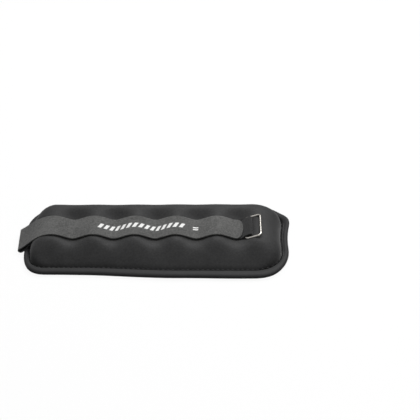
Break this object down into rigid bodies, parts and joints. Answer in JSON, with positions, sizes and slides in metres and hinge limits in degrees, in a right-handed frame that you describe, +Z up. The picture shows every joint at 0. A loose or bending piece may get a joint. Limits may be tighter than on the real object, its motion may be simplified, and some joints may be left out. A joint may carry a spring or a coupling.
{
  "type": "ankle cuff weight",
  "caption": "Flat padded cuff with six weighted chambers, a bound edge, a fold-back hook-and-loop strap and a wire ring on a webbing loop.",
  "frame": {"origin": "middle of the bounding box's base, with the cuff lying flat, back cover down", "axes": "+X along the cuff from the strap's fold to the ring, +Y across it, +Z up from the back cover to the closing strap"},
  "size_m": [0.361, 0.127, 0.0335],
  "materials": {
    "neoprene": "matte",
    "binding": "matte",
    "bag_cloth": "matte",
    "webbing": "matte",
    "strap_grey": "matte",
    "hook_black": "matte",
    "thread": "matte",
    "nickel": "polished"
  },
  "bodies": {
    "chamber_1": {"top_cover_1": "neoprene", "back_cover_1": "neoprene", "weight_bag_1": "bag_cloth", "edge_binding_left_end": "binding", "base_strap_1": "webbing", "tack_seam_1": "thread"},
    "chamber_2": {"top_cover_2": "neoprene", "back_cover_2": "neoprene", "weight_bag_2": "bag_cloth", "edge_binding_front_2": "binding", "edge_binding_back_2": "binding", "base_strap_2": "webbing", "tack_seam_2": "thread"},
    "chamber_3": {"top_cover_3": "neoprene", "back_cover_3": "neoprene", "weight_bag_3": "bag_cloth", "edge_binding_front_3": "binding", "edge_binding_back_3": "binding", "base_strap_3": "webbing", "tack_seam_3": "thread"},
    "chamber_4": {"top_cover_4": "neoprene", "back_cover_4": "neoprene", "weight_bag_4": "bag_cloth", "edge_binding_front_4": "binding", "edge_binding_back_4": "binding", "base_strap_4": "webbing", "tack_seam_4": "thread"},
    "chamber_5": {"top_cover_5": "neoprene", "back_cover_5": "neoprene", "weight_bag_5": "bag_cloth", "edge_binding_front_5": "binding", "edge_binding_back_5": "binding", "base_strap_5": "webbing", "tack_seam_5": "thread"},
    "chamber_6": {"top_cover_6": "neoprene", "back_cover_6": "neoprene", "weight_bag_6": "bag_cloth", "edge_binding_right_end": "binding", "ring_loop": "webbing"},
    "strap_1": {"closing_strap_1": "strap_grey"},
    "strap_2": {"closing_strap_2": "strap_grey"},
    "strap_3": {"closing_strap_3": "strap_grey"},
    "strap_4": {"closing_strap_4": "strap_grey"},
    "strap_5": {"closing_strap_5": "strap_grey"},
    "strap_6": {"closing_strap_6": "strap_grey"},
    "strap_7": {"closing_strap_7": "strap_grey"},
    "strap_8": {"closing_strap_8": "strap_grey"},
    "strap_9": {"closing_strap_9": "strap_grey", "hook_tape_9": "hook_black"},
    "strap_10": {"closing_strap_10": "strap_grey", "hook_tape_10": "hook_black"},
    "strap_11": {"closing_strap_11": "strap_grey", "hook_tape_11": "hook_black"},
    "strap_12": {"closing_strap_12": "strap_grey"},
    "ring": {"ring": "nickel"}
  },
  "joints": [
    {"name": "wrap_1_2", "type": "hinge", "parent": "chamber_1", "child": "chamber_2", "pos_m": [-0.107, 0, 0], "axis": [0, 1, 0], "range_deg": [0, 50]},
    {"name": "wrap_2_3", "type": "hinge", "parent": "chamber_2", "child": "chamber_3", "pos_m": [-0.0517, 0, 0], "axis": [0, 1, 0], "range_deg": [0, 50]},
    {"name": "wrap_3_4", "type": "hinge", "parent": "chamber_3", "child": "chamber_4", "pos_m": [0.0036, 0, 0], "axis": [0, 1, 0], "range_deg": [0, 50]},
    {"name": "wrap_4_5", "type": "hinge", "parent": "chamber_4", "child": "chamber_5", "pos_m": [0.0589, 0, 0], "axis": [0, 1, 0], "range_deg": [0, 50]},
    {"name": "wrap_5_6", "type": "hinge", "parent": "chamber_5", "child": "chamber_6", "pos_m": [0.1142, 0, 0], "axis": [0, 1, 0], "range_deg": [0, 50]},
    {"name": "strap_open", "type": "hinge", "parent": "chamber_1", "child": "strap_1", "pos_m": [-0.1786, 0, 0.0062], "axis": [0, -1, 0], "range_deg": [0, 144.7]},
    {"name": "strap_bend_1", "type": "hinge", "parent": "strap_1", "child": "strap_2", "pos_m": [-0.1579, 0, 0.0238], "axis": [0, -1, 0], "range_deg": [0, 15.02]},
    {"name": "strap_bend_2", "type": "hinge", "parent": "strap_2", "child": "strap_3", "pos_m": [-0.13465, 0, 0.0324], "axis": [0, -1, 0], "range_deg": [0, 42]},
    {"name": "strap_bend_3", "type": "hinge", "parent": "strap_3", "child": "strap_4", "pos_m": [-0.107, 0, 0.0214], "axis": [0, 1, 0], "range_deg": [0, 43.4]},
    {"name": "strap_bend_4", "type": "hinge", "parent": "strap_4", "child": "strap_5", "pos_m": [-0.07935, 0, 0.0324], "axis": [0, -1, 0], "range_deg": [0, 43.4]},
    {"name": "strap_bend_5", "type": "hinge", "parent": "strap_5", "child": "strap_6", "pos_m": [-0.0517, 0, 0.0214], "axis": [0, 1, 0], "range_deg": [0, 43.4]},
    {"name": "strap_bend_6", "type": "hinge", "parent": "strap_6", "child": "strap_7", "pos_m": [-0.02405, 0, 0.0324], "axis": [0, -1, 0], "range_deg": [0, 43.4]},
    {"name": "strap_bend_7", "type": "hinge", "parent": "strap_7", "child": "strap_8", "pos_m": [0.0036, 0, 0.0214], "axis": [0, 1, 0], "range_deg": [0, 43.4]},
    {"name": "strap_bend_8", "type": "hinge", "parent": "strap_8", "child": "strap_9", "pos_m": [0.03125, 0, 0.0324], "axis": [0, -1, 0], "range_deg": [0, 43.4]},
    {"name": "strap_bend_9", "type": "hinge", "parent": "strap_9", "child": "strap_10", "pos_m": [0.0589, 0, 0.0214], "axis": [0, 1, 0], "range_deg": [0, 43.4]},
    {"name": "strap_bend_10", "type": "hinge", "parent": "strap_10", "child": "strap_11", "pos_m": [0.08655, 0, 0.0324], "axis": [0, -1, 0], "range_deg": [0, 43.4]},
    {"name": "strap_bend_11", "type": "hinge", "parent": "strap_11", "child": "strap_12", "pos_m": [0.1142, 0, 0.0214], "axis": [0, 1, 0], "range_deg": [0, 52.7]},
    {"name": "ring_swing", "type": "hinge", "parent": "chamber_6", "child": "ring", "pos_m": [0.125, 0, 0.0243], "axis": [0, -1, 0], "range_deg": [0, 115]}
  ],
  "couplings": [
    {"joint": "wrap_2_3", "follows": "wrap_1_2", "ratio": 1},
    {"joint": "wrap_3_4", "follows": "wrap_1_2", "ratio": 1},
    {"joint": "wrap_4_5", "follows": "wrap_1_2", "ratio": 1},
    {"joint": "wrap_5_6", "follows": "wrap_1_2", "ratio": 1},
    {"joint": "strap_bend_1", "follows": "strap_open", "ratio": 0.1037},
    {"joint": "strap_bend_2", "follows": "strap_open", "ratio": 0.29021},
    {"joint": "strap_bend_3", "follows": "strap_open", "ratio": 0.29985},
    {"joint": "strap_bend_4", "follows": "strap_open", "ratio": 0.29985},
    {"joint": "strap_bend_5", "follows": "strap_open", "ratio": 0.29985},
    {"joint": "strap_bend_6", "follows": "strap_open", "ratio": 0.29985},
    {"joint": "strap_bend_7", "follows": "strap_open", "ratio": 0.29985},
    {"joint": "strap_bend_8", "follows": "strap_open", "ratio": 0.29985},
    {"joint": "strap_bend_9", "follows": "strap_open", "ratio": 0.29985},
    {"joint": "strap_bend_10", "follows": "strap_open", "ratio": 0.29985},
    {"joint": "strap_bend_11", "follows": "strap_open", "ratio": 0.36416}
  ]
}
